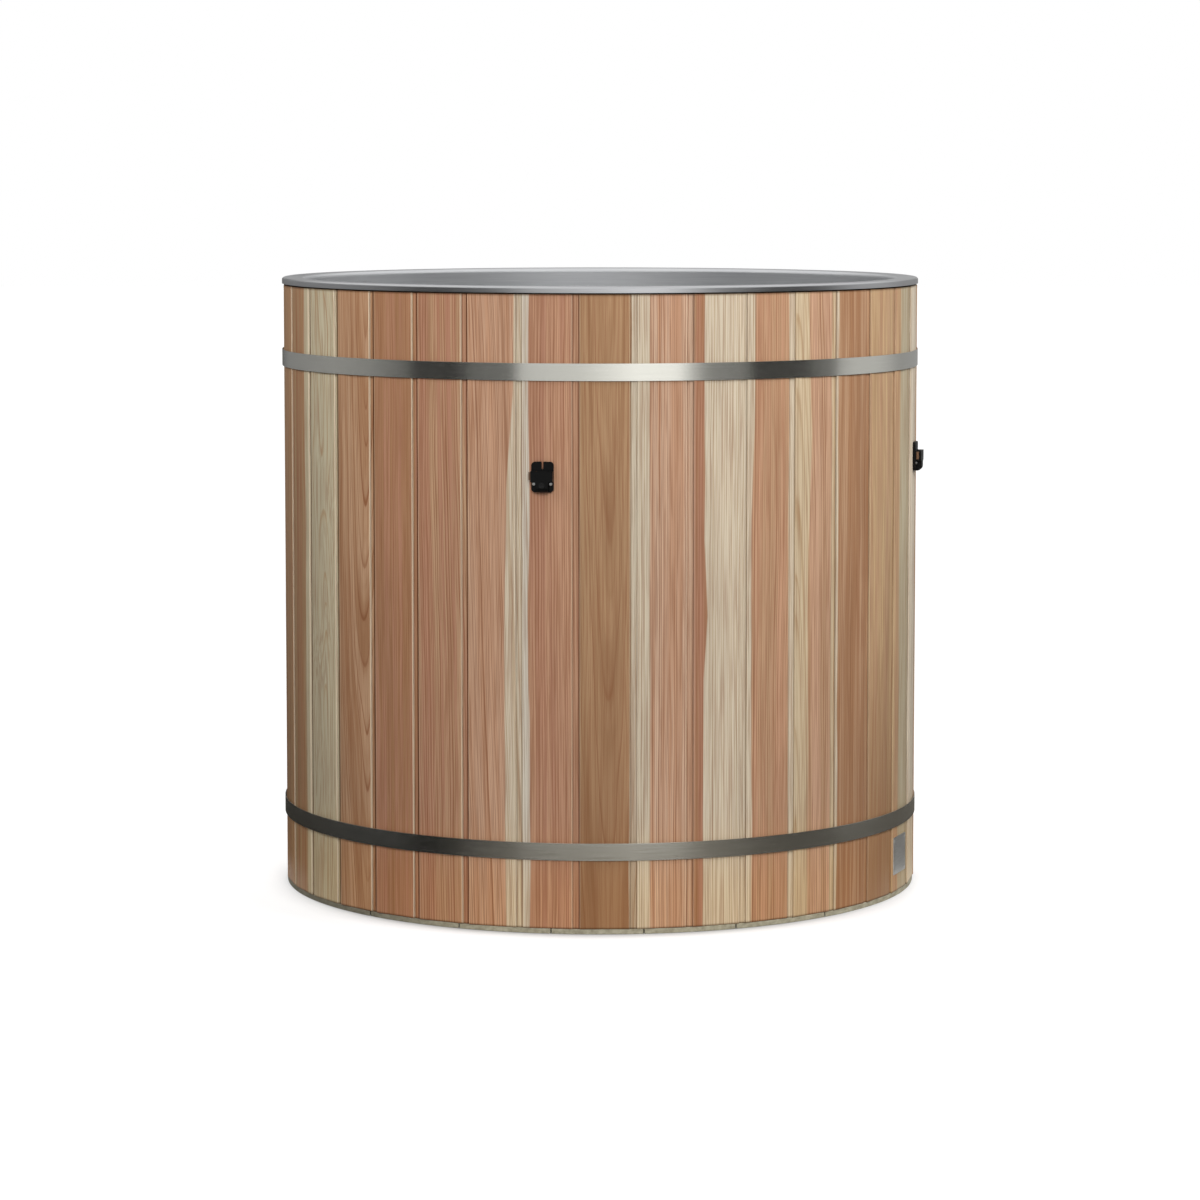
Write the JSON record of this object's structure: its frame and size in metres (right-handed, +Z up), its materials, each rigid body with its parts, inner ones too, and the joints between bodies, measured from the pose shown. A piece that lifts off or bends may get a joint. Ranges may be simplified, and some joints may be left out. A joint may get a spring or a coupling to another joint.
{
  "type": "barrel cold plunge tub",
  "caption": "Round cedar-stave barrel with a stainless steel tub inside, for cold water bathing, with side latches for cover straps and a low drain valve.",
  "frame": {"origin": "on the floor at the barrel's vertical axis, at the underside of the base boards", "axes": "+Z up along the barrel's axis; the front of the barrel, which the picture shows, faces -Y; +X is to the right of the front view"},
  "size_m": [1.0736, 1.141, 1.016],
  "materials": {
    "cedar_brown": "planed and oiled cedar, brown",
    "cedar_salmon": "planed and oiled cedar, salmon red",
    "cedar_tan": "planed and oiled cedar, tan",
    "cedar_cream": "planed and oiled cedar, cream sapwood",
    "tub_steel": "brushed stainless sheet",
    "insulating_foam": "closed-cell foam, cut faces",
    "hoop_steel": "brushed stainless band",
    "base_wood": "grey weathered softwood",
    "screw_steel": "bright stainless",
    "latch_black": "black moulded plastic, satin",
    "latch_brown": "brown moulded plastic",
    "lock_steel": "bright turned metal",
    "plate_steel": "brushed stainless sheet, plain",
    "drain_brass": "cast and turned brass",
    "ball_chrome": "polished ball",
    "lever_steel": "zinc-plated lever with a blue sleeve"
  },
  "bodies": {
    "barrel": {"stave_01": "cedar_brown", "stave_02": "cedar_salmon", "stave_03": "cedar_cream", "stave_04": "cedar_salmon", "stave_05": "cedar_tan", "stave_06": "cedar_tan", "stave_07": "cedar_brown", "stave_08": "cedar_cream", "stave_09": "cedar_tan", "stave_10": "cedar_salmon", "stave_11": "cedar_cream", "stave_12": "cedar_brown", "stave_13": "cedar_salmon", "stave_14": "cedar_brown", "stave_15": "cedar_salmon", "stave_16": "cedar_cream", "stave_17": "cedar_salmon", "stave_18": "cedar_tan", "stave_19": "cedar_tan", "stave_20": "cedar_brown", "stave_21": "cedar_cream", "stave_22": "cedar_tan", "stave_23": "cedar_salmon", "stave_24": "cedar_cream", "stave_25": "cedar_brown", "stave_26": "cedar_salmon", "stave_27": "cedar_brown", "stave_28": "cedar_salmon", "stave_29": "cedar_cream", "stave_30": "cedar_salmon", "stave_31": "cedar_tan", "stave_32": "cedar_tan", "stave_33": "cedar_brown", "stave_34": "cedar_cream", "stave_35": "cedar_tan", "stave_36": "cedar_salmon", "stave_37": "cedar_cream", "liner": "tub_steel", "foam_jacket": "insulating_foam", "upper_hoop": "hoop_steel", "lower_hoop": "hoop_steel", "base_boards": "base_wood", "fasteners": "screw_steel", "latch_1_housing": "latch_black", "latch_2_housing": "latch_black", "latch_3_housing": "latch_black", "latch_4_housing": "latch_black", "plain_plate": "plate_steel", "drain_fitting": "drain_brass", "valve_body": "drain_brass"},
    "tab_1": {"latch_1_tab": "latch_brown"},
    "tab_2": {"latch_2_tab": "latch_brown"},
    "tab_3": {"latch_3_tab": "latch_brown"},
    "tab_4": {"latch_4_tab": "latch_brown"},
    "lock_1": {"latch_1_lock": "lock_steel"},
    "lock_2": {"latch_2_lock": "lock_steel"},
    "lock_3": {"latch_3_lock": "lock_steel"},
    "lock_4": {"latch_4_lock": "lock_steel"},
    "drain_handle": {"valve_ball": "ball_chrome", "valve_lever": "lever_steel"}
  },
  "joints": [
    {"name": "latch_1_press", "type": "slide", "parent": "barrel", "child": "tab_1", "axis": [0.9894, -0.1455, 0], "range_m": [0, 0.003], "stiffness_N_per_m": 1000, "springref_m": -0.002},
    {"name": "latch_2_press", "type": "slide", "parent": "barrel", "child": "tab_2", "axis": [0.1873, 0.9823, 0], "range_m": [0, 0.003], "stiffness_N_per_m": 1000, "springref_m": -0.002},
    {"name": "latch_3_press", "type": "slide", "parent": "barrel", "child": "tab_3", "axis": [-0.9735, 0.2289, 0], "range_m": [0, 0.003], "stiffness_N_per_m": 1000, "springref_m": -0.002},
    {"name": "latch_4_press", "type": "slide", "parent": "barrel", "child": "tab_4", "axis": [-0.27, -0.9629, 0], "range_m": [0, 0.003], "stiffness_N_per_m": 1000, "springref_m": -0.002},
    {"name": "latch_1_key", "type": "hinge", "parent": "barrel", "child": "lock_1", "pos_m": [-0.09033, -0.53261, 0.7075], "axis": [-0.1455, -0.9894, 0], "range_deg": [0, 90]},
    {"name": "latch_2_key", "type": "hinge", "parent": "barrel", "child": "lock_2", "pos_m": [0.53251, -0.09075, 0.7075], "axis": [0.9823, -0.1873, 0], "range_deg": [0, 90]},
    {"name": "latch_3_key", "type": "hinge", "parent": "barrel", "child": "lock_3", "pos_m": [0.10937, 0.52909, 0.7075], "axis": [0.2289, 0.9735, 0], "range_deg": [0, 90]},
    {"name": "latch_4_key", "type": "hinge", "parent": "barrel", "child": "lock_4", "pos_m": [-0.52398, 0.13173, 0.7075], "axis": [-0.9629, 0.27, 0], "range_deg": [0, 90]},
    {"name": "drain_lever", "type": "hinge", "parent": "barrel", "child": "drain_handle", "pos_m": [0.04042, 0.56667, 0.0806], "axis": [0, 0, 1], "range_deg": [0, 90]}
  ]
}
